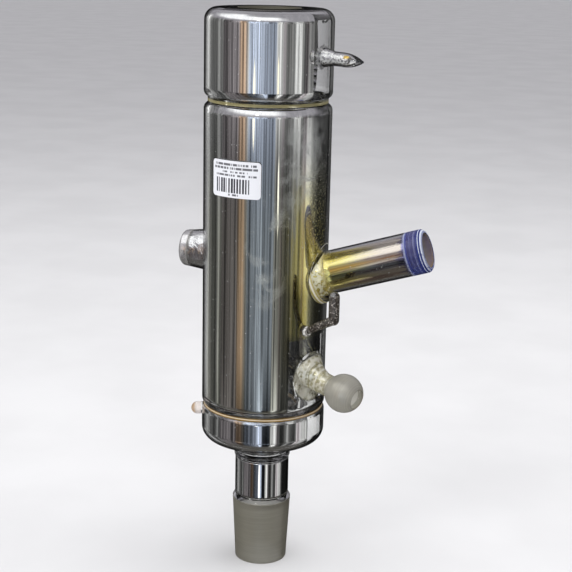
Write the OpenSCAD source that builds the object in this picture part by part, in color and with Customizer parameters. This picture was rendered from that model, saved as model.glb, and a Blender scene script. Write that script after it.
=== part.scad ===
// Vacuum-jacketed distillation head in borosilicate glass.
// Flame-worked tubes fused into one body, with silvered vacuum spaces.
// Millimetres. +Z runs up the column, the side arm leans towards +X, and the
// origin is on the axis at the tip of the lower male joint. Directions are
// angles about +Z, measured from the side arm.

/* [Lower joint and neck] */
// Wide end of the male ground taper
joint_d = 45; // [42:1:48]
// Length of the ground taper
joint_len = 50; // [40:1:60]
// Wall of the male joint
joint_wall = 2.6; // [2:0.1:3.2]
// Outer diameter of the jacketed neck
neck_d = 41.5; // [40:0.5:43]
// Wall of the neck jacket
neck_wall = 2.2; // [1.6:0.1:2.6]
// Height from the joint's wide end to the underside of the base jacket
neck_h = 50; // [45:1:60]
// Outer diameter of the vapour tube inside the neck
riser_d = 29; // [25:0.5:31]
// Wall of the vapour tube inside the neck
riser_wall = 2; // [1.5:0.1:2.5]
// Height of the upper neck bead above the joint's wide end
upper_bead_h = 41; // [39.5:0.5:42]
// Height of the lower neck bead above the joint's wide end
lower_bead_h = 36; // [34:0.5:37]

/* [Jackets] */
// Outer diameter of the three jackets
jacket_d = 94; // [91:1:100]
// Wall of the jackets
jacket_wall = 2.6; // [2.2:0.1:3]
// Height of the base jacket, up to the middle of the seam
base_h = 28; // [26:1:34]
// Height of the main jacket, from the seam to the middle of the groove
main_h = 231.5; // [225:0.5:250]
// Height of the cap jacket, above the middle of the groove
cap_h = 65.5; // [62:0.5:80]
// Glass between two vacuum spaces
web_t = 3.2; // [2.6:0.1:4]
// Rounding of the cap's top edge
crown_r = 9; // [7:0.5:12]
// Rounding under the base jacket
foot_r = 9; // [7:0.5:12]
// Rounding of the edges beside the groove
groove_edge_r = 5; // [4:0.5:6]
// Depth of the groove between the main jacket and the cap
groove_depth = 3; // [2:0.1:3.5]
// Height of the groove's floor
groove_w = 3.7; // [3:0.1:5]
// Rounding of the edges beside the seam
seam_edge_r = 3; // [2:0.5:4]
// Depth of the seam between the base and the main jacket
seam_depth = 1.2; // [0.8:0.1:1.6]
// Height of the seam's floor
seam_w = 2.4; // [2:0.1:3]

/* [Column and top socket] */
// Outer diameter of the column inside the jackets
column_d = 54; // [52:0.5:58]
// Wall of the column
column_wall = 2; // [1.6:0.1:2.6]
// Mouth of the female ground taper in the cap
top_socket_d = 45; // [42:1:46]
// Length of the female ground taper in the cap
top_socket_len = 50; // [40:1:52]
// Wall behind the ground taper in the cap
top_socket_wall = 2.4; // [2:0.1:2.8]

/* [Side arm] */
// Outer diameter of the arm's jacket
arm_d = 32; // [32:0.5:36]
// Wall of the arm's jacket
arm_wall = 2; // [1.6:0.1:2.2]
// Slope of the arm above level
arm_rise = 18; // [12:1:22]
// Height above the seam at which the arm's line meets the column's axis
arm_h = 90.5; // [84:0.5:105]
// Length of the arm beyond the main jacket, along the arm
arm_len = 83.5; // [75:0.5:100]
// Mouth of the female ground taper in the arm
arm_socket_d = 24; // [22:0.5:24]
// Length of the female ground taper in the arm
arm_socket_len = 40; // [34:1:42]
// Wall behind the ground taper in the arm
arm_socket_wall = 1.5; // [1.2:0.1:1.6]
// Outer diameter of the inner tube in the arm
arm_tube_d = 19; // [18:0.5:20]
// Wall of the inner tube in the arm
arm_tube_wall = 1.5; // [1.2:0.1:2]
// Outer diameter of the flare at the arm's root
arm_flare_d = 43; // [40:0.5:48]
// Length of the unsilvered lip at the arm's mouth
arm_lip = 12; // [10:0.5:16]
// Rounding of the arm's lip
arm_lip_r = 3.4; // [2:0.1:3.6]

/* [Ball outlet] */
// Direction of the outlet
outlet_dir = -20; // [-24:1:-16]
// Slope of the outlet below level
outlet_drop = 10; // [6:1:13]
// Height above the seam at which the outlet's line meets the column's axis
outlet_h = 37.5; // [35:0.5:42]
// Length from the main jacket to the ball's centre, along the outlet
outlet_len = 31.3; // [29:0.1:42]
// Diameter of the ground ball
ball_d = 28.6; // [26:0.1:32]
// Bore of the ball
ball_bore_d = 15; // [13:0.5:17]
// Outer diameter of the outlet's tube
outlet_tube_d = 16.4; // [15:0.1:17]
// Wall of the outlet's tube
outlet_wall = 2; // [1.5:0.1:2.5]
// Outer diameter of the flare at the outlet's root
outlet_flare_d = 33; // [30:0.5:35]
// Downward slope of that flare, which is steeper than the tube's
outlet_flare_drop = 16; // [10:1:19]
// Outer diameter of the leg below the outlet
leg_d = 8; // [7:0.5:9]
// Outer diameter of the leg's foot
leg_foot_d = 4.6; // [4:0.1:5.5]
// Height of the leg's foot above the seam
leg_foot_h = 11; // [7:0.5:13]
// Distance of the leg from the column's axis
leg_offset = 36.5; // [34:0.5:38]

/* [Back port] */
// Height of the port's axis above the seam
port_h = 115; // [105:1:124]
// Length of the port beyond the main jacket
port_len = 19; // [17:1:28]
// Outer diameter of the port at its mouth
port_d = 27.5; // [26:0.5:29]
// Outer diameter of the port at its root
port_root_d = 33; // [31:0.5:36]
// Wall of the port's jacket
port_wall = 2.4; // [2:0.1:2.6]
// Rounding of the port's end
port_end_r = 3; // [2.5:0.5:5]
// Mouth of the female ground taper in the port
port_socket_d = 14.5; // [14:0.5:15]
// Length of the female ground taper in the port
port_socket_len = 20; // [16:1:21]
// Outer diameter of the inner tube in the port
port_tube_d = 16.6; // [16.4:0.1:18]
// Wall of the inner tube in the port
port_tube_wall = 2.2; // [2:0.1:2.5]

/* [Hook and seal-off tips] */
// Direction of the spring hook
hook_dir = -29; // [-31:0.5:-27]
// Height of the hook's foot above the seam
hook_foot_h = 66.5; // [65:0.5:69]
// Reach of the hook's stem beyond the main jacket
hook_run = 28.5; // [22:0.5:30]
// Climb of the hook's stem
hook_climb = 15; // [10:0.5:16]
// Height of the hook's upright
hook_h = 17; // [12:0.5:18]
// Diameter of the hook's stem at its foot
hook_stem_d = 5.2; // [4:0.1:6]
// Diameter of the hook's upright
hook_d = 7.8; // [6:0.1:8.4]
// Direction of the cap's seal-off tip
cap_tip_dir = -13; // [-20:1:-5]
// Height of the cap's seal-off tip above the groove
cap_tip_h = 33; // [26:0.5:38]
// Length of the cap's seal-off tip beyond the jacket
cap_tip_len = 32; // [26:0.5:36]
// Downward slope of the cap's seal-off tip
cap_tip_drop = 3; // [0:0.5:6]
// Outer diameter of the cap's seal-off tip
cap_tip_d = 10.2; // [9:0.1:12]
// Wall of the cap's seal-off tip
cap_tip_wall = 1.8; // [1.4:0.1:2.2]
// Outer diameter of the flare at the root of the cap's seal-off tip
cap_tip_root_d = 15.4; // [14:0.1:17]
// Length of that flare beyond the jacket
cap_tip_flare = 9; // [6:0.5:12]
// Direction of the base's seal-off tip
base_tip_dir = -158; // [-170:1:-140]
// Depth of the base's seal-off tip below the seam
base_tip_drop = 6; // [5.5:0.5:8]
// Length of the base's seal-off tip beyond the jacket
base_tip_len = 8.2; // [6:0.1:12]
// Outer diameter of the base's seal-off tip
base_tip_d = 9.4; // [8:0.1:10]

/* [Silvering] */
// Thickness given to the silver films
film_t = 0.2; // [0.1:0.05:0.3]
// Clearance between a film, or the label, and the glass behind it
film_gap = 0.15; // [0.1:0.05:0.3]
// How far the films turn in over the ends of their spaces
film_turn_in = 4; // [3:0.5:5]
// First edge of the clear strip in the cap
cap_strip_from = -26; // [-40:1:-25]
// Last edge of the clear strip in the cap
cap_strip_to = 55; // [20:1:60]
// First edge of the clear strip in the base
base_strip_from = -22; // [-40:1:-18]
// Last edge of the clear strip in the base
base_strip_to = 55; // [20:1:60]
// First edge of the sight window in the main jacket
window_from = -46; // [-50:1:-42]
// Last edge of the sight window in the main jacket
window_to = 25; // [15:1:40]
// Height of the sight window above the seam
window_h = 60; // [56:1:62]

/* [Label] */
// Width of the paper label, along the jacket
label_w = 40.4; // [30:0.1:50]
// Height of the paper label
label_h = 26.4; // [20:0.1:35]
// Height of the label's middle above the seam
label_rise = 179; // [165:1:200]
// Direction of the label's middle
label_dir = -99.5; // [-110:0.5:-90]
// Thickness of the label
label_t = 0.15; // [0.1:0.05:0.3]
// Rounding of the label's corners
label_r = 2.5; // [1:0.5:4]

/* [Hidden] */
$fn = 96;

glass_colour = [0.86, 0.90, 0.88, 0.45];
silver_colour = [0.72, 0.72, 0.74];
tint_colour = [0.74, 0.71, 0.52];
paper_colour = [0.95, 0.95, 0.94];

// Ground tapers narrow by one part in ten of their length
taper = 1 / 10;
// Overlap that keeps joined solids from only touching
lap = 1;

joint_r = joint_d / 2;
joint_tip_r = joint_r - joint_len * taper / 2;
joint_collar = 3;
joint_shoulder = 5.5;
joint_shoulder_rise = 1.5;
neck_r = neck_d / 2;
riser_r = riser_d / 2;
bead_r = 2;
bead_height = 0.8;
neck_foot_t = 0.5;
neck_head_t = 0.2;
neck_step_h = 3.5;
column_flare_h = 7;
throat_lead = 3;
throat_cone_h = 8;
jacket_r = jacket_d / 2;
vacuum_r = jacket_r - jacket_wall;
column_r = column_d / 2;
arm_r = arm_d / 2;
arm_reach = jacket_r + arm_len;
arm_tube_r = arm_tube_d / 2;
arm_socket_r = arm_socket_d / 2;
arm_throat_r = arm_socket_r - arm_socket_len * taper / 2;
arm_flare_len = 8;
arm_flare_skirt = 7;
arm_cone_len = 3;
outlet_r = outlet_tube_d / 2;
outlet_bore_r = outlet_r - outlet_wall;
outlet_flare_sink = 3;
outlet_flare_len = 17;
outlet_flare_skirt = 5;
outlet_pocket_depth = 6;
outlet_pocket_len = 8.5;
outlet_flare_sunk = 1.8;
ball_reach = jacket_r + outlet_len;
port_r = port_d / 2;
port_root_r = port_root_d / 2;
port_spread = 5;
port_end_web = 1.2;
port_film_gap = 0.2;
port_reach = jacket_r + port_len;
port_socket_r = port_socket_d / 2;
port_throat_r = port_socket_r - port_socket_len * taper / 2;
port_tube_r = port_tube_d / 2;
top_socket_r = top_socket_d / 2;
top_throat_r = top_socket_r - top_socket_len * taper / 2;

base_z = joint_len + neck_h;
seam_z = base_z + base_h;
groove_z = seam_z + main_h;
top_z = groove_z + cap_h;
throat_z = top_z - top_socket_len;
shaft_top_z = throat_z - throat_lead - throat_cone_h;
lower_bead_z = joint_len + lower_bead_h;
upper_bead_z = joint_len + upper_bead_h;
arm_z = seam_z + arm_h;
outlet_z = seam_z + outlet_h;
// The flare's line meets the tube's at the centre of the ball
outlet_flare_z = outlet_z - ball_reach * sin(outlet_drop)
    + ball_reach * cos(outlet_drop) * tan(outlet_flare_drop);
port_z = seam_z + port_h;

// Vacuum spaces: lowest and highest point, and the rounding of their corners
neck_vac_r = neck_r - neck_wall;
neck_vac = [joint_len + joint_collar + neck_foot_t, lower_bead_z - bead_r - neck_head_t];
base_vac = [base_z + jacket_wall, seam_z - web_t / 2];
main_vac = [seam_z + web_t / 2, groove_z - web_t / 2];
cap_vac = [groove_z + web_t / 2, top_z - jacket_wall];
neck_corner_r = 1.5;
foot_corner_r = foot_r - jacket_wall;
base_top_corner_r = seam_edge_r;
main_foot_corner_r = 2 * seam_edge_r;
groove_corner_r = groove_edge_r + 2;
crown_corner_r = crown_r - jacket_wall;

// Upright outline from the axis out to r, between two heights, with rounded corners
module drum_profile(r, z, low_r, high_r) {
    translate([0, z[0]]) square([r - low_r, low_r]);
    translate([0, z[0] + low_r]) square([r, z[1] - z[0] - low_r - high_r]);
    translate([0, z[1] - high_r]) square([r - high_r, high_r]);
    translate([r - low_r, z[0] + low_r]) circle(low_r);
    translate([r - high_r, z[1] - high_r]) circle(high_r);
}

module drum(r, z, low_r, high_r) {
    rotate_extrude() drum_profile(r, z, low_r, high_r);
}

// Turns a shape that is built up +Z so that it points out of the column
module outwards(direction, height, slope = 0) {
    translate([0, 0, height]) rotate([0, 0, direction]) rotate([0, 90 - slope, 0]) children();
}

// Flare by which a branch spreads onto the main jacket, with a skirt sunk into it
module flare(from, to, skirt, tube_r, flare_r) {
    steps = 8;
    curve = [for (i = [0 : steps]) let (t = i / steps)
             [tube_r + (flare_r - tube_r) * (1 - t) * (1 - t), from + (to - from) * t]];
    rotate_extrude() polygon(concat([[0, to], [0, from - skirt], [flare_r, from - skirt]], curve));
}

// Outer skin of the male joint, the neck and the three jackets
module jacket_skin() {
    cylinder(h = joint_len, r1 = joint_tip_r, r2 = joint_r);
    translate([0, 0, joint_len]) cylinder(h = joint_collar, r1 = joint_r, r2 = neck_r);
    translate([0, 0, joint_len + lap]) cylinder(h = neck_h, r = neck_r);
    for (bead_z = [lower_bead_z, upper_bead_z])
        translate([0, 0, bead_z]) rotate_extrude()
            translate([neck_r + bead_height - bead_r, 0]) circle(bead_r);
    drum(jacket_r, [base_z, seam_z - seam_w / 2], foot_r, seam_edge_r);
    drum(jacket_r, [seam_z + seam_w / 2, groove_z - groove_w / 2], seam_edge_r, groove_edge_r);
    drum(jacket_r, [groove_z + groove_w / 2, top_z], groove_edge_r, crown_r);
    translate([0, 0, seam_z - seam_w]) cylinder(h = 2 * seam_w, r = jacket_r - seam_depth);
    translate([0, 0, groove_z - groove_w])
        cylinder(h = 2 * groove_w, r = jacket_r - groove_depth);
}

module arm_skin() {
    outwards(0, arm_z, arm_rise) {
        translate([0, 0, column_r]) rotate_extrude() intersection() {
            drum_profile(arm_r, [-arm_r, arm_reach - column_r], arm_lip_r, arm_lip_r);
            square([arm_r, arm_reach - column_r]);
        }
        flare(jacket_r - lap, jacket_r + arm_flare_len, arm_flare_skirt, arm_r, arm_flare_d / 2);
    }
}

// Arm's vacuum space inset by a clearance: a tube that flares inside the root of the arm
module arm_vacuum(inset = 0) {
    flare_start = vacuum_r - 3;
    outwards(0, arm_z, arm_rise) {
        translate([0, 0, column_r])
            cylinder(h = arm_reach - arm_lip - column_r, r = arm_r - arm_wall - inset);
        translate([0, 0, flare_start])
            cylinder(h = jacket_r + arm_flare_len - flare_start,
                     r1 = arm_flare_d / 2 - arm_wall - inset, r2 = arm_r - arm_wall - 0.2 - inset);
    }
}

// Inner tube and socket of the arm, before they are bored
module arm_rod() {
    throat = arm_reach - arm_socket_len;
    back_r = arm_throat_r + arm_socket_wall;
    outwards(0, arm_z, arm_rise) {
        cylinder(h = throat, r = arm_tube_r);
        translate([0, 0, throat - arm_cone_len])
            cylinder(h = arm_cone_len, r1 = arm_tube_r, r2 = back_r);
        translate([0, 0, throat]) cylinder(h = arm_socket_len - arm_cone_len, r1 = back_r,
            r2 = back_r + (arm_socket_len - arm_cone_len) * taper / 2);
    }
}

module arm_bore() {
    throat = arm_reach - arm_socket_len;
    chamfer = 2;
    outwards(0, arm_z, arm_rise) {
        cylinder(h = throat + lap, r = arm_tube_r - arm_tube_wall);
        translate([0, 0, throat]) cylinder(h = arm_socket_len, r1 = arm_throat_r, r2 = arm_socket_r);
        translate([0, 0, arm_reach - chamfer / 2])
            cylinder(h = chamfer, r1 = arm_socket_r - 0.05, r2 = arm_socket_r + chamfer);
    }
}

module port_skin() {
    outwards(180, port_z) {
        cylinder(h = port_reach - port_end_r, r1 = port_root_r + port_spread, r2 = port_r);
        translate([0, 0, port_reach - port_end_r]) rotate_extrude() {
            square([port_r - port_end_r, port_end_r]);
            intersection() {
                translate([port_r - port_end_r, 0]) circle(port_end_r);
                square([port_r, port_end_r]);
            }
        }
    }
}

// Outline of the port's vacuum space, inset by a clearance
module port_vacuum(inset = 0) {
    outwards(180, port_z) translate([0, 0, column_r])
        cylinder(h = port_reach - column_r - port_end_r - port_end_web,
                 r1 = port_root_r - port_film_gap - inset, r2 = port_r - port_wall - inset);
}

module port_rod() {
    outwards(180, port_z) cylinder(h = port_reach - port_end_r, r = port_tube_r);
}

module port_bore() {
    throat = port_reach - port_socket_len;
    outwards(180, port_z) {
        cylinder(h = throat + lap, r = port_tube_r - port_tube_wall);
        translate([0, 0, throat]) cylinder(h = port_socket_len + lap, r1 = port_throat_r,
            r2 = port_socket_r + lap * taper / 2);
    }
}

module outlet_skin() {
    // Share of the ball's diameter, from its centre, at which the ball is cut off
    ball_end = 0.42;
    outwards(outlet_dir, outlet_flare_z, -outlet_flare_drop)
        flare(jacket_r - outlet_flare_sink, jacket_r + outlet_flare_len, outlet_flare_skirt,
              outlet_r - outlet_flare_sunk, outlet_flare_d / 2);
    outwards(outlet_dir, outlet_z, -outlet_drop) {
        translate([0, 0, jacket_r - 4]) cylinder(h = outlet_len, r = outlet_r);
        translate([0, 0, ball_reach]) intersection() {
            sphere(d = ball_d);
            translate([0, 0, -ball_d]) cylinder(h = ball_d * (1 + ball_end), r = ball_d);
        }
    }
}

module outlet_vacuum() {
    outwards(outlet_dir, outlet_flare_z, -outlet_flare_drop)
        translate([0, 0, vacuum_r - outlet_pocket_depth])
            cylinder(h = outlet_pocket_len, r = outlet_flare_d / 2 - outlet_flare_skirt);
}

module outlet_rod() {
    outwards(outlet_dir, outlet_z, -outlet_drop) cylinder(h = jacket_r + 4, r = outlet_r);
}

module outlet_bore() {
    funnel = 6;
    outwards(outlet_dir, outlet_z, -outlet_drop) {
        cylinder(h = ball_reach - funnel + lap, r = outlet_bore_r);
        translate([0, 0, ball_reach - funnel])
            cylinder(h = funnel, r1 = outlet_bore_r - 0.01, r2 = ball_bore_d / 2);
        translate([0, 0, ball_reach - 0.01]) cylinder(h = ball_d, d = ball_bore_d);
    }
}

// Leg that stands on the seam's web and props the outlet's inner tube
module outlet_leg() {
    rotate([0, 0, outlet_dir]) translate([leg_offset, 0, 0]) {
        translate([0, 0, seam_z]) cylinder(h = leg_foot_h + lap, d = leg_foot_d);
        translate([0, 0, seam_z + leg_foot_h])
            cylinder(h = outlet_h - outlet_r - leg_foot_h, d = leg_d);
    }
}

// Bent rod: a stem that rises from its foot, and an upright that a spring hooks over
module hook() {
    upright_r = hook_d / 2;
    slope = atan2(hook_climb, hook_run);
    outwards(hook_dir, seam_z + hook_foot_h) translate([0, 0, jacket_r - 1.5])
        cylinder(h = 3.5, r1 = hook_stem_d / 2 + 2, r2 = hook_stem_d / 2 + 0.6);
    rotate([0, 0, hook_dir]) translate([jacket_r, 0, seam_z + hook_foot_h]) {
        rotate([0, 90 - slope, 0])
            cylinder(h = norm([hook_run, hook_climb]), r1 = hook_stem_d / 2, r2 = upright_r - 0.4);
        translate([hook_run, 0, hook_climb]) sphere(upright_r);
        translate([hook_run, 0, hook_climb]) cylinder(h = hook_h, r = upright_r);
        translate([hook_run, 0, hook_climb + hook_h]) sphere(upright_r);
    }
}

// Pulled-off tubulation: a tube whose outer half narrows to a point like a parabola
module cap_tip(wall = 0, end_wall = 0) {
    tube_r = cap_tip_d / 2 - wall;
    point_len = cap_tip_len / 2 - end_wall;
    start = jacket_r + cap_tip_len / 2;
    blunt = 0.94;
    steps = 8;
    curve = [for (i = [0 : steps]) let (t = i / steps * blunt)
             [tube_r * (1 - t * t), start + point_len * t]];
    outwards(cap_tip_dir, groove_z + cap_tip_h + jacket_r * sin(cap_tip_drop), -cap_tip_drop) {
        translate([0, 0, jacket_r - 4]) cylinder(h = cap_tip_len / 2 + 4, r = tube_r);
        translate([0, 0, jacket_r - 4]) cylinder(h = cap_tip_flare + 4,
            r1 = cap_tip_root_d / 2 - wall, r2 = tube_r - 0.2);
        rotate_extrude() polygon(concat([[0, start + point_len * blunt], [0, start - lap],
                                         [tube_r, start - lap]], curve));
    }
}

module base_tip() {
    tip_r = base_tip_d / 2;
    outwards(base_tip_dir, seam_z - base_tip_drop) {
        translate([0, 0, jacket_r - 4]) cylinder(h = base_tip_len + 4 - tip_r, r = tip_r);
        translate([0, 0, jacket_r + base_tip_len - tip_r]) sphere(tip_r);
    }
}

// Space in each jacket, from the axis outwards: the column is put back afterwards
module vacuum_spaces() {
    drum(neck_vac_r, neck_vac, neck_corner_r, neck_corner_r);
    drum(vacuum_r, base_vac, foot_corner_r, base_top_corner_r);
    drum(vacuum_r, main_vac, main_foot_corner_r, groove_corner_r);
    drum(vacuum_r, cap_vac, groove_corner_r, crown_corner_r);
}

// Riser, column and top socket, before they are bored
module column_rod() {
    socket_back_r = top_throat_r + top_socket_wall;
    translate([0, 0, joint_len - 2 * lap]) cylinder(h = lower_bead_h + 4 * lap, r = riser_r);
    translate([0, 0, base_z + lap]) cylinder(h = shaft_top_z - base_z - lap, r = column_r);
    translate([0, 0, shaft_top_z]) cylinder(h = throat_cone_h, r1 = column_r, r2 = socket_back_r);
    translate([0, 0, throat_z - throat_lead]) cylinder(h = top_socket_len + throat_lead - lap,
        r1 = socket_back_r, r2 = socket_back_r + (top_socket_len + throat_lead - lap) * taper / 2);
}

// Way of the vapour from the male joint up to the top socket
module column_bore() {
    riser_bore_r = riser_r - riser_wall;
    column_bore_r = column_r - column_wall;
    neck_bore_r = neck_r - jacket_wall;
    rotate_extrude() polygon([
        [0, -lap], [joint_tip_r - joint_wall, -lap], [joint_tip_r - joint_wall, 0],
        [joint_r - joint_wall, joint_len + joint_shoulder_rise - joint_shoulder],
        [riser_bore_r, joint_len + joint_shoulder_rise],
        [riser_bore_r, lower_bead_z], [neck_bore_r, lower_bead_z + neck_step_h],
        [neck_bore_r, base_z], [column_bore_r, base_z + column_flare_h],
        [column_bore_r, shaft_top_z], [top_throat_r, throat_z - throat_lead],
        [top_throat_r, throat_z],
        [top_socket_r, top_z], [top_socket_r, top_z + lap], [0, top_z + lap]]);
}

module glass_body() color(glass_colour) difference() {
    union() {
        difference() {
            union() {
                jacket_skin();
                arm_skin();
                port_skin();
                outlet_skin();
                hook();
                cap_tip();
                base_tip();
            }
            vacuum_spaces();
            arm_vacuum();
            port_vacuum();
            outlet_vacuum();
            cap_tip(cap_tip_wall, 6);
        }
        column_rod();
        arm_rod();
        port_rod();
        outlet_rod();
        outlet_leg();
    }
    column_bore();
    arm_bore();
    port_bore();
    outlet_bore();
}

// Film on the outer wall of a vacuum space, turned in over its ends
module film(r, z, low_r, high_r) {
    inset = film_gap + film_t;
    rotate_extrude() difference() {
        intersection() {
            drum_profile(r - film_gap, [z[0] + film_gap, z[1] - film_gap],
                         low_r - film_gap, high_r - film_gap);
            translate([r - film_turn_in, z[0]]) square([film_turn_in, z[1] - z[0]]);
        }
        drum_profile(r - inset, [z[0] + inset, z[1] - inset], low_r - inset, high_r - inset);
    }
}

// Upright wedge between two directions, for the strips that stay clear
module wedge(from, to, z) {
    translate([0, 0, z[0]]) rotate([0, 0, from])
        rotate_extrude(angle = to - from) square([jacket_d, z[1] - z[0]]);
}

module cap_silver() color(silver_colour) difference() {
    film(vacuum_r, cap_vac, groove_corner_r, crown_corner_r);
    wedge(cap_strip_from, cap_strip_to, [groove_z, top_z]);
}

module main_silver() color(tint_colour) difference() {
    film(vacuum_r, main_vac, main_foot_corner_r, groove_corner_r);
    wedge(window_from, window_to, [seam_z, seam_z + window_h]);
    arm_vacuum(-0.3);
    outwards(180, port_z) cylinder(h = jacket_d, r = port_root_r + 0.6);
}

module base_silver() color(silver_colour) difference() {
    film(vacuum_r, base_vac, foot_corner_r, base_top_corner_r);
    wedge(base_strip_from, base_strip_to, [base_z, seam_z]);
}

module neck_silver() color(silver_colour)
    film(neck_vac_r, neck_vac, neck_corner_r, neck_corner_r);

module arm_silver() color(tint_colour) difference() {
    intersection() {
        arm_vacuum(film_gap);
        outwards(0, arm_z, arm_rise) cylinder(h = arm_reach - arm_lip - 2, r = jacket_r);
    }
    arm_vacuum(film_gap + film_t);
    translate([0, 0, seam_z]) cylinder(h = main_h, r = vacuum_r);
}

module port_silver() color(silver_colour) difference() {
    intersection() {
        port_vacuum(film_gap);
        outwards(180, port_z) cylinder(h = port_reach - port_end_r - port_end_web - 0.6, r = jacket_r);
    }
    port_vacuum(film_gap + film_t);
    translate([0, 0, seam_z]) cylinder(h = main_h, r = vacuum_r);
}

module label() {
    chord_w = 2 * jacket_r * sin(label_w / jacket_d * 180 / PI);
    color(paper_colour) translate([0, 0, seam_z + label_rise]) intersection() {
        rotate([0, 0, label_dir - 45]) rotate_extrude(angle = 90)
            translate([jacket_r + film_gap, -label_h]) square([label_t, 2 * label_h]);
        rotate([0, 0, label_dir]) rotate([90, 0, 90]) linear_extrude(jacket_d) {
            square([chord_w - 2 * label_r, label_h], center = true);
            square([chord_w, label_h - 2 * label_r], center = true);
            for (x = [-1, 1], y = [-1, 1])
                translate([x * (chord_w / 2 - label_r), y * (label_h / 2 - label_r)]) circle(label_r);
        }
    }
}

glass_body();
cap_silver();
main_silver();
base_silver();
neck_silver();
arm_silver();
port_silver();
label();
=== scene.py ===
"""Silvered, vacuum-jacketed distillation head: glass body, silver films and paper label."""
import math

import bpy
from mathutils import Matrix, Vector, noise


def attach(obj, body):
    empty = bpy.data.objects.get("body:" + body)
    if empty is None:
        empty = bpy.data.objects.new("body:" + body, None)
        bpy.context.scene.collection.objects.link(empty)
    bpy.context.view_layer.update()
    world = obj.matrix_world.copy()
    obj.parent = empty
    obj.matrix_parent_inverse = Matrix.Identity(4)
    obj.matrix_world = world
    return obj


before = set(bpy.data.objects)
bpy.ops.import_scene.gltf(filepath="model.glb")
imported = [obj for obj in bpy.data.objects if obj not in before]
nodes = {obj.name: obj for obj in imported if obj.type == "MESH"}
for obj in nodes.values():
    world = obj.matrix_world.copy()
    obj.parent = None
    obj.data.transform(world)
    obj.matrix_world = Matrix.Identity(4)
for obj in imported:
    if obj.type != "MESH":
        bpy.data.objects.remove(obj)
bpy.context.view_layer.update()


# ---- The studio ----
# A pale floor under a tall grey room with upright softboxes and dark gaps between them, which
# the silver mirrors as long streaks, one wide softbox overhead, and a fill for the paper.

class Reading:
    """A number, colour, vector or shader inside a material. Operators on numbers add Math nodes."""

    def __init__(self, finish, socket):
        self.finish, self.socket = finish, socket

    def out(self, name):
        return Reading(self.finish, self.socket.node.outputs[name])

    def maths(self, operation, *others):
        return self.finish.node("ShaderNodeMath", {"operation": operation},
                                dict(enumerate((self,) + others)))

    def __add__(self, other):
        return self.maths("ADD", other)

    def __sub__(self, other):
        return self.maths("SUBTRACT", other)

    def __rsub__(self, other):
        return self.maths("MULTIPLY_ADD", -1.0, other)

    def __mul__(self, other):
        return self.maths("MULTIPLY", other)

    def __truediv__(self, other):
        return self.maths("DIVIDE", other)

    __radd__, __rmul__ = __add__, __mul__

    def ease(self, start, end, low=0.0, high=1.0):
        """Goes smoothly from low to high while the reading goes from start to end."""
        return self.finish.node("ShaderNodeMapRange", {"interpolation_type": "SMOOTHSTEP"},
                                {"Value": self, "From Min": start, "From Max": end,
                                 "To Min": low, "To Max": high})

    def between(self, start, end, soft):
        """1 from start to end, fading to 0 over a soft edge on each side."""
        return self.ease(start - soft, start + soft) * self.ease(end - soft, end + soft, 1.0, 0.0)


class Finish:
    """The nodes of a material or of the room, written as expressions."""

    def __init__(self, owner):
        self.owner = owner
        owner.use_nodes = True
        self.tree = owner.node_tree

    def fill(self, inputs, values):
        for name, value in values.items():
            if isinstance(value, Reading):
                self.tree.links.new(value.socket, inputs[name])
            else:
                inputs[name].default_value = value

    def node(self, kind, settings=None, values=None):
        """Adds a node, settings first, and gives its first output."""
        added = self.tree.nodes.new(kind)
        for name, value in (settings or {}).items():
            if name == "stops":
                ramp = added.color_ramp
                while len(ramp.elements) < len(value):
                    ramp.elements.new(1.0)
                for element, (place, colour) in zip(ramp.elements, value):
                    element.position, element.color = place, (*colour, 1.0)
            else:
                setattr(added, name, value)
        self.fill(added.inputs, values or {})
        return Reading(self, next(s for s in added.outputs if s.enabled))

    def blend(self, share, first, second):
        """A colour between two others."""
        mix = self.tree.nodes.new("ShaderNodeMix")
        mix.data_type = "RGBA"
        self.fill(mix.inputs, {0: share})
        for socket, colour in ((mix.inputs[6], first), (mix.inputs[7], second)):
            if isinstance(colour, Reading):
                self.tree.links.new(colour.socket, socket)
            else:
                socket.default_value = (*colour, 1.0)
        return Reading(self, mix.outputs[2])

    def place(self):
        return self.node("ShaderNodeTexCoord").out("Object")

    def axes(self, place):
        """The three numbers of a place."""
        apart = self.node("ShaderNodeSeparateXYZ", {}, {"Vector": place})
        return apart.out("X"), apart.out("Y"), apart.out("Z")

    def noise(self, place, scale, detail, stretch=None, **more):
        """Soft mottling, drawn out along the axes whose stretch is under 1."""
        if stretch:
            place = self.node("ShaderNodeMapping", {}, {"Vector": place, "Scale": stretch})
        return self.node("ShaderNodeTexNoise", {},
                         {"Vector": place, "Scale": scale, "Detail": detail, **more})

    def shader(self, values):
        """Fills in the shader that the material starts with."""
        principled = self.tree.nodes["Principled BSDF"]
        self.fill(principled.inputs, values)
        return Reading(self, principled.outputs[0])

    def cover(self, share, under, over):
        """Lays one shader over another and puts both on the surface."""
        both = self.node("ShaderNodeMixShader", {}, {0: share, 1: under, 2: over})
        output = next(n for n in self.tree.nodes if n.type == "OUTPUT_MATERIAL")
        self.tree.links.new(both.socket, output.inputs["Surface"])


CAMERA_PLACE, CAMERA_AHEAD = (0.3281, -0.9013, 0.468), (-0.3161, 0.9150, -0.2509)
CAMERA_ROLL = math.radians(1.24)
CAMERA_LENS = 82.65


def stage_camera():
    data = bpy.data.cameras.new("camera")
    data.lens, data.sensor_width, data.clip_start = CAMERA_LENS, 36.0, 0.01
    camera = bpy.data.objects.new("camera", data)
    bpy.context.collection.objects.link(camera)
    ahead = Vector(CAMERA_AHEAD).normalized()
    level = ahead.cross(Vector((0, 0, 1))).normalized()
    up = math.cos(CAMERA_ROLL) * level.cross(ahead) - math.sin(CAMERA_ROLL) * level
    turned = Matrix((ahead.cross(up), up, -ahead)).transposed().to_4x4()
    camera.matrix_world = Matrix.Translation(CAMERA_PLACE) @ turned
    bpy.context.scene.camera = camera


stage_camera()

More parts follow.
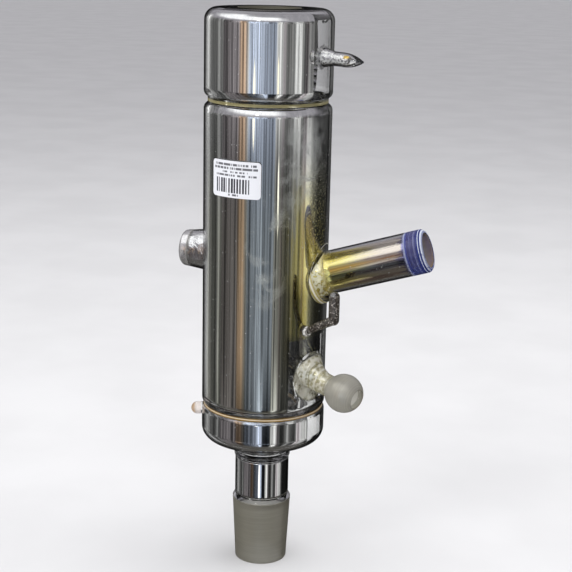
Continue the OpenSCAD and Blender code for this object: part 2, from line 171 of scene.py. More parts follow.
PLAIN, COOL = (1.0, 1.0, 1.0), (0.87, 0.98, 1.22)
WARM, MAUVE = (1.30, 0.92, 0.66), (1.06, 0.97, 1.02)
# The room by direction: degrees to the left (-) or right (+) of the camera as seen from the
# object, the hue there, and how bright it is level with the cap, half way down and low down.
ROOM = [
    (-180, PLAIN, 0.004, 0.010, 0.002), (-168, PLAIN, 0.006, 0.025, 0.002),
    (-157, PLAIN, 0.022, 0.025, 0.004), (-152, PLAIN, 0.07, 0.05, 0.006),
    (-148, PLAIN, 0.15, 0.11, 0.01), (-144, PLAIN, 0.50, 0.30, 0.03),
    (-139, PLAIN, 0.85, 0.65, 0.10), (-135, PLAIN, 0.40, 0.50, 0.30),
    (-131, PLAIN, 0.13, 0.18, 0.22), (-126, PLAIN, 0.12, 0.12, 0.12),
    (-120, PLAIN, 0.085, 0.07, 0.05), (-109, PLAIN, 0.065, 0.035, 0.03),
    (-105, PLAIN, 0.18, 0.08, 0.03), (-101, PLAIN, 0.20, 0.21, 0.06),
    (-97.5, PLAIN, 0.09, 0.25, 0.12), (-94, PLAIN, 0.22, 0.14, 0.065),
    (-90, MAUVE, 0.04, 0.08, 0.065), (-84, MAUVE, 0.05, 0.045, 0.08),
    (-77, MAUVE, 0.09, 0.055, 0.08), (-69, MAUVE, 0.14, 0.065, 0.06),
    (-62, MAUVE, 0.20, 0.11, 0.03), (-57, MAUVE, 0.21, 0.10, 0.07),
    (-52, WARM, 0.24, 0.15, 0.02), (-44, WARM, 0.27, 0.16, 0.02),
    (-37.5, PLAIN, 0.25, 0.15, 0.025), (-34.5, COOL, 0.40, 0.11, 0.02),
    (-22, COOL, 0.54, 0.18, 0.07), (-16, COOL, 0.42, 0.23, 0.10),
    (-12, COOL, 0.32, 0.22, 0.15), (-9, COOL, 0.28, 0.26, 0.28),
    (-5, COOL, 0.32, 0.16, 0.52), (0, COOL, 0.19, 0.12, 0.006),
    (5, COOL, 0.13, 0.11, 0.004), (9, COOL, 0.20, 0.11, 0.003),
    (13, COOL, 0.20, 0.13, 0.006), (16, PLAIN, 0.45, 0.15, 0.18),
    (19, PLAIN, 0.44, 0.14, 0.42), (24, PLAIN, 0.50, 0.13, 0.34),
    (28, MAUVE, 0.24, 0.09, 0.08), (33, PLAIN, 0.10, 0.07, 0.02),
    (41, PLAIN, 0.11, 0.04, 0.008), (46, PLAIN, 0.15, 0.11, 0.10),
    (48, PLAIN, 0.28, 0.15, 0.20), (51.5, PLAIN, 0.46, 0.17, 0.07),
    (60, PLAIN, 0.48, 0.17, 0.02), (64.5, PLAIN, 0.24, 0.16, 0.01),
    (67.5, PLAIN, 0.09, 0.22, 0.11), (71, MAUVE, 0.055, 0.28, 0.25),
    (76, MAUVE, 0.09, 0.27, 0.24), (80, PLAIN, 0.22, 0.38, 0.20),
    (84, PLAIN, 0.08, 0.46, 0.19), (88.5, PLAIN, 0.10, 0.44, 0.20),
    (92, PLAIN, 0.08, 0.36, 0.26), (97, PLAIN, 0.05, 0.22, 0.10),
    (102, PLAIN, 0.02, 0.10, 0.01), (110, PLAIN, 0.02, 0.045, 0.006),
    (119, PLAIN, 0.03, 0.025, 0.004), (124, PLAIN, 0.03, 0.02, 0.004),
    (130, PLAIN, 0.03, 0.025, 0.004), (140, PLAIN, 0.08, 0.03, 0.004),
    (153, PLAIN, 0.09, 0.05, 0.004), (161, PLAIN, 0.07, 0.05, 0.004),
    (180, PLAIN, 0.004, 0.006, 0.002)]
# Where ROOM starts from, turned about Z, and how much each of its three columns is brightened
CAMERA_SIDE = math.radians(-70)
CAP_GAIN, HALF_WAY_GAIN, LOW_GAIN = 1.35, 1.15, 1.8
# Bare lamps in the room: direction in degrees and height, half width and half height, and colour
LAMPS = [
    (-26.0, -0.117, 2.2, 0.034, (1.5, 1.4, 1.1)), (17.5, -0.100, 1.3, 0.020, (1.4, 1.3, 1.0)),
    (21.5, -0.185, 1.5, 0.030, (1.5, 1.45, 1.3)), (-12.0, -0.395, 4.0, 0.020, (1.6, 1.6, 1.6)),
    (-22.0, 0.560, 3.0, 0.030, (14.0, 14.0, 13.0))]
LOW_WALL, CEILING, SOFTBOX = (0.09, 0.085, 0.08), (0.33, 0.32, 0.35), (1.15, 1.15, 1.19)
BACKDROP = (0.45, 0.45, 0.455)


def stage_room():
    world = bpy.data.worlds.new("room")
    bpy.context.scene.world = world
    room = Finish(world)
    side = room.node("ShaderNodeTexCoord").out("Generated")
    turned = room.node("ShaderNodeMapping", {"vector_type": "VECTOR"},
                       {"Vector": side, "Rotation": (0, 0, -CAMERA_SIDE)})
    across, along, height = room.axes(turned)
    turn = along.maths("ARCTAN2", across) * math.degrees(1)
    rightward = turn.maths("GREATER_THAN", 0.0)
    # A ramp holds half of the round, so each height takes a left and a right one
    tiers = []
    for column, gain in ((2, CAP_GAIN), (3, HALF_WAY_GAIN), (4, LOW_GAIN)):
        halves = []
        for start, share in ((-180, turn / 180 + 1.0), (0, turn / 180)):
            stops = [((line[0] - start) / 180, tuple(gain * line[column] * c for c in line[1]))
                     for line in ROOM if start <= line[0] <= start + 180]
            halves.append(room.node("ShaderNodeValToRGB", {"stops": stops}, {"Fac": share}))
        tiers.append(room.blend(rightward, *halves))
    cap_tier, half_way_tier, low_tier = tiers
    walls = room.blend(height.ease(-0.37, -0.29), low_tier, half_way_tier)
    walls = room.blend(height.ease(-0.175, -0.095), walls, cap_tier)
    # Shelves and edges: fine upright stripes, light and dark
    stripes = room.noise(
        room.node("ShaderNodeCombineXYZ", {}, {"X": turn * 0.26, "Y": height * 1.6}),
        1.0, 4.0, Roughness=0.75)
    walls = room.node("ShaderNodeVectorMath", {"operation": "SCALE"},
                      {0: walls, "Scale": stripes.ease(0.34, 0.66, 0.30, 1.85)})
    walls = room.blend(height.ease(-0.88, -0.62), LOW_WALL, walls)
    lit = room.blend(height.ease(0.15, 0.42), walls, CEILING)
    overhead = (height.ease(0.40, 0.62) * height.ease(0.88, 0.97, 1.0, 0.0)
                * turn.between(-135, 28, 20))
    lit = room.blend(overhead, lit, SOFTBOX)
    for lamp_turn, lamp_height, wide, tall, colour in LAMPS:
        aside, up = (turn - lamp_turn) / wide, (height - lamp_height) / tall
        lit = room.blend((aside * aside + up * up).ease(0.4, 1.2, 1.0, 0.0), lit, colour)
    straight = room.node("ShaderNodeLightPath").out("Is Camera Ray")
    seen = room.blend(straight, lit, BACKDROP)
    back = next(n for n in room.tree.nodes if n.type == "BACKGROUND")
    room.fill(back.inputs, {"Color": seen, "Strength": 1.0})


stage_room()


FLOOR_WIDE, FLOOR_DROP = 60.0, 0.0004


def stage_floor():
    """A pale floor that the silver doesn't mirror, so the room's lower walls show in it."""
    bpy.ops.object.select_all(action="DESELECT")
    bpy.ops.mesh.primitive_plane_add(size=FLOOR_WIDE, location=(0, 0, -FLOOR_DROP))
    floor = bpy.context.object
    floor.name = "floor"
    finish = Finish(bpy.data.materials.new("pale_floor"))
    grain = finish.noise(finish.place(), 7.0, 3.0)
    plain = finish.shader({
        "Base Color": finish.blend(grain.ease(0.3, 0.7), (0.66, 0.66, 0.66), (0.70, 0.70, 0.70)),
        "Roughness": 0.7, "Specular IOR Level": 0.2})
    mirrored = finish.node("ShaderNodeLightPath").out("Glossy Depth").maths("GREATER_THAN", 0.5)
    finish.cover(mirrored, plain, finish.node("ShaderNodeBsdfTransparent"))
    floor.data.materials.append(finish.owner)


stage_floor()


def hang(name, data):
    """Adds a lamp that lights things and is never seen itself."""
    lamp = bpy.data.objects.new(name, data)
    bpy.context.collection.objects.link(lamp)
    lamp.visible_camera = lamp.visible_glossy = lamp.visible_transmission = False
    return lamp


def softbox(name, place, target, side, power):
    data = bpy.data.lights.new(name, "AREA")
    data.shape, data.size, data.energy = "SQUARE", side, power
    lamp = hang(name, data)
    lamp.location = place
    lamp.rotation_euler = (Vector(target) - Vector(place)).to_track_quat("-Z", "Y").to_euler()


softbox("overhead", (0.3, 0.2, 1.9), (0, 0, 0.2), 1.4, 27)
softbox("fill", (-1.1, -1.9, 1.0), (0, 0, 0.25), 1.0, 25)

# A wide, dim sky lifts the floor far from the softboxes
sky = bpy.data.lights.new("sky", "SUN")
sky.energy, sky.angle = 0.35, math.radians(120)
hang("sky", sky)

bpy.context.scene.view_settings.view_transform = "Standard"


# ---- Glass body ----
# Borosilicate tubes fused in the flame into one body: clear and fire-polished, faintly olive
# where it is thick, blue at the arm's lip, and ground to a frost on the tapers and the ball.
# White highlights on the lip, the weld, the seam and the hook's foot, and the dark of the hook and the
# bores, are painted on.

# The tapers are 1 in 10 on the diameter
JOINT_LEN, TAPER = 0.050, 0.05
SEAM_Z = 0.128
GROOVE_Z = SEAM_Z + 0.2315
JACKET_R = 0.047
# The side arm rises 18 degrees from this height on the axis, level with +X
ARM_Z, ARM_COS, ARM_SIN = SEAM_Z + 0.0905, 0.9511, 0.3090
PORT_Z = SEAM_Z + 0.115
BALL_R = 0.0145
BALL_CENTRE, OUTLET_AXIS = (0.0725, -0.0264, 0.1519), (0.9254, -0.3368, -0.1736)

CLEAR, OLIVE, AMBER = (0.985, 0.99, 0.98), (0.86, 0.80, 0.50), (0.90, 0.70, 0.35)
STRAW, GROUND_WHITE = (0.93, 0.92, 0.74), (0.90, 0.88, 0.82)
LIP_BLUE, RIM_BLUE = (0.30, 0.42, 0.99), (0.02, 0.06, 0.90)


def beside_arm(x, z):
    """How high over the root of the side arm, how far along it and how far above its line."""
    rise = z - ARM_Z
    return rise, x * ARM_COS + rise * ARM_SIN, rise * ARM_COS - x * ARM_SIN


def bump(finish, height, distance):
    return finish.node("ShaderNodeBump", {}, {"Height": height, "Distance": distance})


def bands(finish, along, scale, detail):
    """Uneven bands across a line."""
    return finish.node("ShaderNodeTexNoise", {"noise_dimensions": "1D"},
                       {"W": along, "Scale": scale, "Detail": detail})


def borosilicate_glass():
    finish = Finish(bpy.data.materials.new("borosilicate_glass"))
    place = finish.place()
    x, y, z = finish.axes(place)
    turn = y.maths("ARCTAN2", x) * math.degrees(1)
    radius = (x * x + y * y).maths("SQRT")
    rise, along_arm, off_arm = beside_arm(x, z)
    from_arm = (off_arm * off_arm + y * y).maths("SQRT")
    off_port = z - PORT_Z
    from_port = (off_port * off_port + y * y).maths("SQRT")
    # Along the outlet and out from its line
    from_centre = finish.node("ShaderNodeVectorMath", {"operation": "SUBTRACT"},
                              {0: place, 1: BALL_CENTRE})
    from_ball = finish.node("ShaderNodeVectorMath", {"operation": "LENGTH"},
                            {0: from_centre}).out("Value")
    along_outlet = finish.node("ShaderNodeVectorMath", {"operation": "DOT_PRODUCT"},
                               {0: from_centre, 1: OUTLET_AXIS}).out("Value")
    across_outlet = finish.node("ShaderNodeVectorMath", {"operation": "CROSS_PRODUCT"},
                                {0: from_centre, 1: OUTLET_AXIS})
    from_outlet = finish.node("ShaderNodeVectorMath", {"operation": "LENGTH"},
                              {0: across_outlet}).out("Value")

    # What is ground: each is 1 on its own surface and 0 elsewhere
    joint = (z.ease(JOINT_LEN - 0.0002, JOINT_LEN + 0.0008, 1.0, 0.0)
             * (radius - z * TAPER).ease(0.0186, 0.0190))
    ball = from_ball.ease(BALL_R + 0.0004, BALL_R + 0.0006, 1.0, 0.0)
    ball_face = ball * from_ball.ease(BALL_R - 0.0014, BALL_R - 0.0008)
    ball_mouth = from_outlet.ease(0.0074, 0.0080, 1.0, 0.0) * along_outlet.ease(-0.001, 0.0)
    arm_socket = along_arm.ease(0.0903, 0.0911) * from_arm.ease(0.0123, 0.0126, 1.0, 0.0)
    top_socket = z.ease(0.3745, 0.3755) * radius.ease(0.0229, 0.0232, 1.0, 0.0)
    ground = joint.maths("MAXIMUM", ball_face).maths("MAXIMUM", top_socket)
    ground = ground.maths("MAXIMUM", arm_socket * 0.7)
    # What is worked in the flame: the hook and its foot, the outlet, the seal-off tip, the welds
    hook = (radius.ease(JACKET_R + 0.0001, JACKET_R + 0.0006) * z.between(0.185, 0.2275, 0.0005)
            * turn.between(-36, -22, 0.5) * from_arm.ease(0.0220, 0.0224))
    foot = hook * radius.ease(0.0490, 0.0508, 1.0, 0.0)
    seal_tip = radius.ease(0.0474, 0.0482) * z.between(0.114, 0.1272, 0.0004)
    seal_end = radius.ease(0.0505, 0.0535)
    outlet = (from_outlet.ease(0.0165, 0.0185, 1.0, 0.0) * radius.ease(0.0462, 0.0474)
              * along_outlet.ease(-0.016, -0.011, 1.0, 0.0))
    port_end = x.ease(-0.0602, -0.0580, 1.0, 0.0) * from_port.ease(0.0090, 0.0096)
    weld = from_arm.between(0.0210, 0.0216, 0.0002) * radius.ease(0.0445, 0.0455) * x.ease(0.0, 0.01)
    seam = z.between(SEAM_Z - 0.0011, SEAM_Z + 0.0011, 0.0003)
    # Painted highlight: a cream-white line along the middle of the amber seam
    seam_painted_highlight = z.between(SEAM_Z - 0.00015, SEAM_Z + 0.00035, 0.0002)
    groove = z.between(GROOVE_Z - 0.0012, GROOVE_Z + 0.0011, 0.0004) * radius.ease(0.0400, 0.0410)
    lip = along_arm.ease(0.114, 0.120) * from_arm.between(0.0128, 0.0200, 0.0003)
    rim = lip * (along_arm.ease(0.1245, 0.1270) + along_arm.ease(0.1165, 0.1185, 1.0, 0.0))
    worked = outlet.maths("MAXIMUM", hook).maths("MAXIMUM", port_end)

    tint = finish.blend(groove, CLEAR, OLIVE)
    for share, colour in ((seam, AMBER), (lip, LIP_BLUE), (rim, RIM_BLUE), (outlet, STRAW),
                          (ground * (1.0 - lip), GROUND_WHITE)):
        tint = finish.blend(share, tint, colour)

    ripple = finish.noise(place, 45.0, 2.0, stretch=(1, 1, 0.2))
    grit = finish.noise(place, 2600.0, 2.0)
    wrinkle = finish.noise(place, 400.0, 3.0)
    speck = finish.noise(place, 1100.0, 1.0)
    # The lap's fine rings round the joint and the ball, and the folds of hand-worked glass
    rings = finish.noise(place, 900.0, 3.0, stretch=(0.04, 0.04, 1))
    laps = bands(finish, along_outlet, 1500.0, 4.0)
    collars = bands(finish, along_outlet, 420.0, 2.0)
    folds = bands(finish, along_arm, 620.0, 2.0)
    patches = wrinkle * 0.45 + collars * 0.55
    # Painted highlight: whitish glints on the lip, stronger on its upper side
    painted_lip_glint = lip * folds.ease(0.54, 0.66) * (wrinkle + rise * 6.0).ease(0.52, 0.66)
    relief = (ripple * 0.5 + grit * ground * 0.35 + rings * joint * 0.3 + laps * ball * 0.7
              + wrinkle * worked * 4.5 + collars * outlet * 14.0 + speck * hook * 3.0
              + wrinkle * lip)
    # Dust: a few small round motes on the outside of the jackets
    mote = finish.node("ShaderNodeTexVoronoi", {}, {"Vector": place, "Scale": 250.0})
    kept, _, _ = finish.axes(mote.out("Color"))
    dust = (mote.out("Distance").ease(0.05, 0.10, 1.0, 0.0) * kept.maths("GREATER_THAN", 0.45)
            * radius.ease(0.0468, 0.0469) * (1.0 - ground))

    clear = finish.shader({
        "Base Color": tint, "Roughness": ground * (0.38 + grit * 0.1) + hook * 0.12,
        "IOR": 1.473, "Transmission Weight": 1.0, "Normal": bump(finish, relief, 0.00004)})

    # What scatters the light: ground faces, traces of silver in the outlet and the worked seams;
    # highlights and shade are painted into its colour too, and the ground faces' dull grey is partly
    # painted shade.
    frost_and_painted_light = finish.blend(rings.ease(0.35, 0.65), (0.195, 0.182, 0.135), (0.245, 0.232, 0.178))
    ball_frost = finish.blend(laps.ease(0.35, 0.65), (0.38, 0.365, 0.315), (0.49, 0.475, 0.41))
    outlet_stain = finish.blend(patches.ease(0.42, 0.56), (0.50, 0.47, 0.29), (0.92, 0.90, 0.76))
    # The weld ring: dark amber glass with white arcs painted on it as a highlight
    weld_painted_highlight = finish.blend(folds.ease(0.46, 0.54), (0.42, 0.35, 0.08), (1.0, 0.97, 0.86))
    for share, colour in (
            # Painted shade: the ground bores of the side arm and of the ball are dark brown, as if
            # shaded inside
            (ball, ball_frost), (arm_socket, (0.17, 0.115, 0.04)), (ball_mouth, (0.16, 0.13, 0.10)),
            (outlet, outlet_stain), (weld, weld_painted_highlight),
            # Painted shade: the hook is near black, standing in for the dark seen through its clear
            # glass
            (hook, (0.035, 0.028, 0.022)), (hook * speck.ease(0.60, 0.70), (0.50, 0.46, 0.42)),
            # Painted highlight: white specks on the hook's foot
            (foot * speck.ease(0.42, 0.52), (0.86, 0.84, 0.80)),
            (lip, (0.03, 0.06, 0.46)), (painted_lip_glint, (0.80, 0.86, 0.98)), (port_end, (0.93, 0.92, 0.91)),
            (seam, (0.36, 0.20, 0.035)), (seam_painted_highlight, (1.0, 0.92, 0.72)), (groove, (0.42, 0.37, 0.17)),
            (dust, (0.85, 0.85, 0.83)), (seal_tip * seal_end, (0.50, 0.33, 0.18)),
            (seal_tip * (1.0 - seal_end), (0.95, 0.86, 0.80))):
        frost_and_painted_light = finish.blend(share, frost_and_painted_light, colour)
    scatter = finish.node("ShaderNodeBsdfPrincipled", {}, {
        "Base Color": frost_and_painted_light, "Roughness": (grit * 0.2 + 0.35) * (1.0 - worked * 0.75 - ball_face * 0.5),
        "Specular IOR Level": 0.5, "Metallic": outlet * 0.55 + ground * 0.35 + port_end * 0.9,
        "Normal": bump(finish, relief, 0.00004)})
    cloudy = (ground * 0.70 + outlet * patches.ease(0.38, 0.50, 0.60, 0.88) + arm_socket * 0.35
              + weld * 0.7 + hook * 0.8 + seal_tip * 0.6 + seam * 0.7 + groove * 0.5 + dust * 0.6
              + lip * 0.22 + painted_lip_glint * 0.45 + port_end * 0.8).maths("MINIMUM", 0.9)
    finish.cover(cloudy, clear, scatter)
    return finish.owner


def dress(node, material):
    nodes[node].data.materials.clear()
    nodes[node].data.materials.append(material)


dress("glass_body", borosilicate_glass())
nodes["glass_body"].visible_shadow = False


# ---- Silver ----
# Silver deposited from solution on the inside of each sealed vacuum space, so it is bright,
# with fine upright drawn lines. Round the side arm it has aged to yellow, cloud and black.
# Below the side arm a dark reflection is painted into it, and on the arm's root a highlight on top and
# shade underneath.

GREYISH, BRIGHT, OLIVE_SILVER = (0.86, 0.86, 0.865), (0.97, 0.965, 0.96), (0.84, 0.84, 0.66)
YELLOW_SILVER, DEEP_YELLOW = (0.93, 0.81, 0.26), (0.40, 0.33, 0.025)
SMOKE, REFLECTED_DARK = (0.62, 0.66, 0.62), (0.10, 0.10, 0.02)
BURNT, BARE = (0.055, 0.065, 0.025), (0.05, 0.05, 0.035)


def jacket_ageing_and_painted_light(finish, place, colour, rough):
    """Olive lower down, yellow runs round the side arm's root, smoke and dark spots above it, and a
    painted dark reflection below it.
    """
    x, y, z = finish.axes(place)
    turn = y.maths("ARCTAN2", x) * math.degrees(1)
    smoke = finish.noise(place, 42.0, 8.0, Roughness=0.62, Distortion=0.9)
    run = finish.noise(place, 90.0, 4.0, stretch=(1, 1, 0.12), Roughness=0.6)
    fleck = finish.noise(place, 620.0, 3.0, Roughness=0.7)
    near_arm = turn.ease(-62, -40) * turn.ease(20, 60, 1.0, 0.0)
    below = z.ease(0.218, 0.240, 1.0, 0.0)
    yellow = (near_arm * z.ease(0.26, 0.33, 1.0, 0.0) * z.ease(0.14, 0.19)
              * (run + below * 0.25).ease(0.34, 0.52))
    # Painted reflection: dark olive bands below the side arm stand in for the dark surroundings
    # mirrored in the silver
    dark_runs = turn.between(-43.5, -35, 1.5) + turn.between(-27, 14, 2.5)
    painted_dark_reflection = dark_runs * z.between(0.170, 0.220, 0.005) * (run + 0.06).ease(0.30, 0.50)
    # The silver thins out to dark above the sight window
    thin = turn.between(-49, 28, 3) * (z + (run - 0.5) * 0.030).ease(0.187, 0.197, 1.0, 0.0)
    hazy = turn.between(-52, -10, 12) * z.between(0.292, 0.342, 0.014) * smoke.ease(0.40, 0.62)
    hazy = hazy.maths("MAXIMUM", turn.between(-88, -50, 12) * z.between(0.215, 0.290, 0.02)
                      * smoke.ease(0.52, 0.70) * 0.6)
    spoilt = (turn.between(-25, 8, 10) * z.between(0.238, 0.312, 0.024)
              * (run * 0.6 + smoke * 0.4).ease(0.40, 0.52))
    for share, stains_and_painted_light in (
            (z.ease(0.26, 0.34, 0.5, 0.0), OLIVE_SILVER),
            (yellow * 0.92, finish.blend(below, YELLOW_SILVER, DEEP_YELLOW)),
            (painted_dark_reflection * 0.8, REFLECTED_DARK), (thin * 0.85, BARE), (hazy * 0.8, SMOKE),
            (spoilt * fleck.ease(0.48, 0.62, 0.85, 0.0), BURNT)):
        colour = finish.blend(share, colour, stains_and_painted_light)
    dull = (hazy * 0.45).maths("MAXIMUM", spoilt * fleck.ease(0.52, 0.64) * 0.35)
    return colour, rough + yellow * 0.02 + hazy * 0.30 + spoilt * 0.12, 1.0 - dull, 0.0


def arm_ageing_and_painted_light(finish, place, colour, rough):
    """Yellow at the root, then purplish, with brown and dark lines along the tube; a painted white
    highlight on the root's upper side and deeper amber beneath it as painted shade.
    """
    x, y, z = finish.axes(place)
    rise, along, off = beside_arm(x, z)
    drawn_out = finish.node("ShaderNodeCombineXYZ", {}, {"X": off, "Y": y, "Z": along * 0.05})
    lines = finish.noise(drawn_out, 330.0, 4.0, Roughness=0.65)
    edge = (lines - 0.5) * 0.05 + along
    yellow = edge.ease(0.062, 0.098, 0.95, 0.10)
    brown = edge.ease(0.064, 0.080) * lines.ease(0.50, 0.60)
    # The flared root is crumpled, with white and amber patches; the white gathers on the upper side as
    # a painted highlight, and the amber deepens underneath as painted shade.
    root = along.ease(0.052, 0.059, 1.0, 0.0)
    patch = finish.noise(place, 360.0, 4.0)
    root_white_and_highlight = root * (patch + rise * 6.0).ease(0.48, 0.58) * along.ease(0.0490, 0.0550, 1.0, 0.20)
    for share, stains_and_painted_light in (
            (edge.ease(0.06, 0.09), (0.80, 0.72, 0.69)), (yellow, (0.95, 0.83, 0.26)),
            (brown * 0.75, (0.42, 0.24, 0.17)), (edge.ease(0.1125, 0.1150) * 0.7, (0.20, 0.17, 0.34)),
            (root, (0.95, 0.79, 0.20)),
            (root * rise.ease(-0.010, -0.004, 1.0, 0.0), (0.72, 0.54, 0.07)),
            (root_white_and_highlight, (1.0, 0.95, 0.68))):
        colour = finish.blend(share, colour, stains_and_painted_light)
    return colour, rough + brown * 0.05 + root_white_and_highlight * 0.12, 1.0 - root_white_and_highlight * 0.50 - root * 0.2, root * 20.0


def silver(name, lie=0.0, stains_and_painted_light=None, crinkle=0.0):
    """Bright silver. The ageing function, when given, stains it, paints light and shade into it, and
    gives its colour, roughness, metal and crinkle.
    """
    finish = Finish(bpy.data.materials.new(name))
    place = finish.place()
    # The drawn lines run along the tube, which is turned upright by this
    upright = finish.node("ShaderNodeMapping", {}, {"Vector": place, "Rotation": (0, lie, 0)})
    drawn = finish.noise(upright, 420.0, 3.0, stretch=(1, 1, 0.02))
    wave = finish.noise(upright, 60.0, 2.0, stretch=(1, 1, 0.15))
    colour = finish.blend(drawn.ease(0.35, 0.65), GREYISH, BRIGHT)
    rough = drawn.ease(0.3, 0.7, 0.01, 0.03)
    relief, metal = drawn * 0.06 + wave * 0.5, 1.0
    if stains_and_painted_light:
        colour, rough, metal, crinkle = stains_and_painted_light(finish, place, colour, rough)
    if crinkle != 0.0:
        relief = relief + finish.noise(place, 190.0, 3.0) * crinkle
    finish.shader({"Base Color": colour, "Metallic": metal, "Roughness": rough,
                   "Normal": bump(finish, relief, 0.0001)})
    return finish.owner


bright_silver = silver("bright_silver")
for name in ("cap_silver", "base_silver", "neck_silver"):
    dress(name, bright_silver)
dress("main_silver", silver("aged_silver_with_painted_reflection", stains_and_painted_light=jacket_ageing_and_painted_light))
dress("arm_silver", silver("arm_silver_film", lie=math.radians(-72), stains_and_painted_light=arm_ageing_and_painted_light))
dress("port_silver", silver("crinkled_silver", crinkle=18.0))


# ---- Silver in the cap's seal-off tip ----
# The silvering solution was poured in and the space was pumped out through this tube, so its
# flared root and inner half are lined too, crumpled, with ragged ends and a yellow scorch mark.

MM = 0.001
TIP_Z, TIP_TURN, TIP_DROP = 0.39496, math.radians(-13), math.radians(3)
TIP_AXIS = (math.cos(TIP_DROP) * math.cos(TIP_TURN), math.cos(TIP_DROP) * math.sin(TIP_TURN),
            -math.sin(TIP_DROP))
TIP_ROOT_R = 0.0056
JACKET_BORE_R = 0.04405
# The lining's distance from the axis of the head and its radius there, in millimetres
TIP_LINING = [
    (42.4, 11.5), (43.0, 9.5), (43.5, 7.8), (43.9, 6.4), (44.3, 5.5), (46.0, 5.1), (48.0, 4.7),
    (50.0, 4.27), (52.5, 3.75), (55.0, 3.2), (58.0, 3.15), (61.0, 3.15), (63.5, 3.1), (65.5, 2.9),
    (67.5, 2.5), (69.0, 2.0)]


def line_tip(name):
    bpy.ops.object.select_all(action="DESELECT")
    first_far, first_wide = TIP_LINING[0]
    bpy.ops.mesh.primitive_circle_add(vertices=72, radius=first_wide * MM,
                                      location=(0, 0, first_far * MM))
    piece = bpy.context.object
    piece.name = name
    bpy.ops.object.transform_apply(location=True)
    bpy.ops.object.mode_set(mode="EDIT")
    for (near, wide), (far, narrow) in zip(TIP_LINING, TIP_LINING[1:]):
        bpy.ops.mesh.extrude_edges_move(
            TRANSFORM_OT_translate={"value": (0, 0, (far - near) * MM)})
        bpy.ops.transform.resize(value=(narrow / wide, narrow / wide, 1),
                                 center_override=(0, 0, far * MM))
    bpy.ops.object.mode_set(mode="OBJECT")
    for vertex in piece.data.vertices:
        spot = vertex.co
        reach = math.hypot(spot.x, spot.y)
        if reach > TIP_ROOT_R:
            # The splash round the root lies on the inside of the jacket
            spot.z = math.sqrt(JACKET_BORE_R ** 2 - spot.y ** 2) + spot.x * math.sin(TIP_DROP)
        else:
            crumple = noise.noise(spot * 520) * 0.00020 + noise.noise(spot * 1300) * 0.00009
            spot.xy *= 1 - abs(crumple) / reach
    piece.rotation_euler = (0, math.pi / 2 + TIP_DROP, TIP_TURN)
    piece.location = (0, 0, TIP_Z)
    bpy.ops.object.transform_apply(location=True, rotation=True, scale=True)
    bpy.ops.object.mode_set(mode="EDIT")
    bpy.ops.mesh.select_all(action="SELECT")
    bpy.ops.mesh.normals_make_consistent(inside=False)
    bpy.ops.object.mode_set(mode="OBJECT")
    bpy.ops.object.shade_smooth()
    return piece


def tip_silver_finish():
    finish = Finish(bpy.data.materials.new("tip_silver"))
    place = finish.place()
    outward = finish.node("ShaderNodeVectorMath", {"operation": "SUBTRACT"},
                          {0: place, 1: (0, 0, TIP_Z)})
    along = finish.node("ShaderNodeVectorMath", {"operation": "DOT_PRODUCT"},
                        {0: outward, 1: TIP_AXIS}).out("Value")
    foot = finish.node("ShaderNodeVectorMath", {"operation": "SCALE"},
                       {0: TIP_AXIS, "Scale": along})
    off = finish.node("ShaderNodeVectorMath", {"operation": "SUBTRACT"}, {0: outward, 1: foot})
    reach = finish.node("ShaderNodeVectorMath", {"operation": "LENGTH"}, {0: off}).out("Value")
    around = finish.node("ShaderNodeVectorMath", {"operation": "NORMALIZE"}, {0: off})
    ray = finish.noise(around, 9.0, 3.0, Roughness=0.7)
    fleck = finish.noise(place, 700.0, 3.0)
    # The splash ends in rays round the root, and the lining in a ragged edge along the tube
    splash = (ray * 1.5 - (reach - TIP_ROOT_R) / 0.0062).ease(0.25, 0.45)
    end = (along + (fleck - 0.5) * 0.006).ease(0.0665, 0.0672, 1.0, 0.0)
    colour = finish.blend(fleck.ease(0.45, 0.62), (0.95, 0.95, 0.94), (0.70, 0.69, 0.71))
    _, _, over_axis = finish.axes(off)
    scorch = along.between(0.0635, 0.0675, 0.0008) * over_axis.ease(0.0005, 0.0018)
    colour = finish.blend(scorch, colour, (0.95, 0.62, 0.06))
    finish.shader({
        "Base Color": colour, "Metallic": fleck.ease(0.42, 0.60, 0.40, 0.95),
        "Roughness": fleck.ease(0.3, 0.7, 0.06, 0.24) + reach.ease(0.0054, 0.0060) * 0.35,
        "Alpha": splash * end, "Normal": bump(finish, fleck, 0.0014)})
    return finish.owner


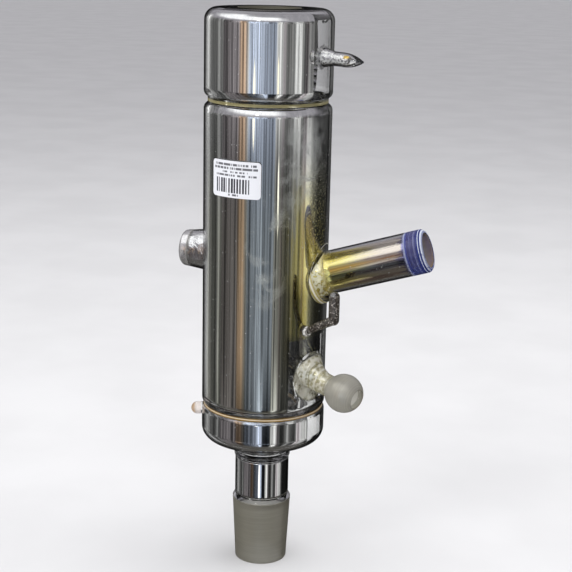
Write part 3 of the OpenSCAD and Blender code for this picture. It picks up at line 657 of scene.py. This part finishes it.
tip_lining = line_tip("cap_tip_silver")
tip_lining.data.materials.append(tip_silver_finish())
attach(tip_lining, "root")


# ---- Label ----
# White coated paper with round corners, stuck on the main jacket by its own adhesive and
# printed in black with a row of plain bars and five rules of broken dashes.

LABEL_TURN, LABEL_Z = -99.5, SEAM_Z + 0.179
PAPER, INK = (0.77, 0.78, 0.81), (0.02, 0.02, 0.03)
BARS_FROM, BARS_TO, BAR_PITCH = -0.0160, 0.0132, 0.00225
# Each rule's height, half thickness, two ends and the share of it that is left blank
RULES = [
    (0.0104, 0.0008, -0.0170, 0.0170, 0.30), (0.0078, 0.0008, -0.0180, 0.0182, 0.20),
    (0.0052, 0.0006, -0.0100, 0.0105, 0.35), (0.0028, 0.0007, -0.0165, 0.0170, 0.30),
    (-0.0112, 0.0007, -0.0050, 0.0040, 0.30)]


def printed_paper():
    finish = Finish(bpy.data.materials.new("printed_paper"))
    x, y, z = finish.axes(finish.place())
    # Across and up the paper from its middle, as if it lay flat
    across = ((y.maths("ARCTAN2", x) * math.degrees(1) - LABEL_TURN)
              * (JACKET_R * math.pi / 180))
    up = z - LABEL_Z
    # Thirteen bars, each of its own width
    column = (across - BARS_FROM) / BAR_PITCH
    width = finish.node("ShaderNodeTexWhiteNoise", {"noise_dimensions": "1D"},
                        {"W": column.maths("FLOOR")})
    print_mask = (column.maths("FRACT").maths("LESS_THAN", width * 0.50 + 0.28)
                  * across.between(BARS_FROM, BARS_TO, 0.0001) * up.between(-0.0098, 0.0006, 0.0001))
    for level, thin, start, end, gap in RULES:
        dash = finish.node("ShaderNodeTexWhiteNoise", {"noise_dimensions": "1D"},
                           {"W": (across * 1500 + level * 9000).maths("FLOOR")})
        print_mask = print_mask.maths("MAXIMUM", dash.maths("GREATER_THAN", gap) * 0.85
                                      * across.between(start, end, 0.0001)
                                      * up.between(level - thin, level + thin, 0.0002))
    finish.shader({"Base Color": finish.blend(print_mask, PAPER, INK), "Roughness": 0.45})
    return finish.owner


dress("label", printed_paper())
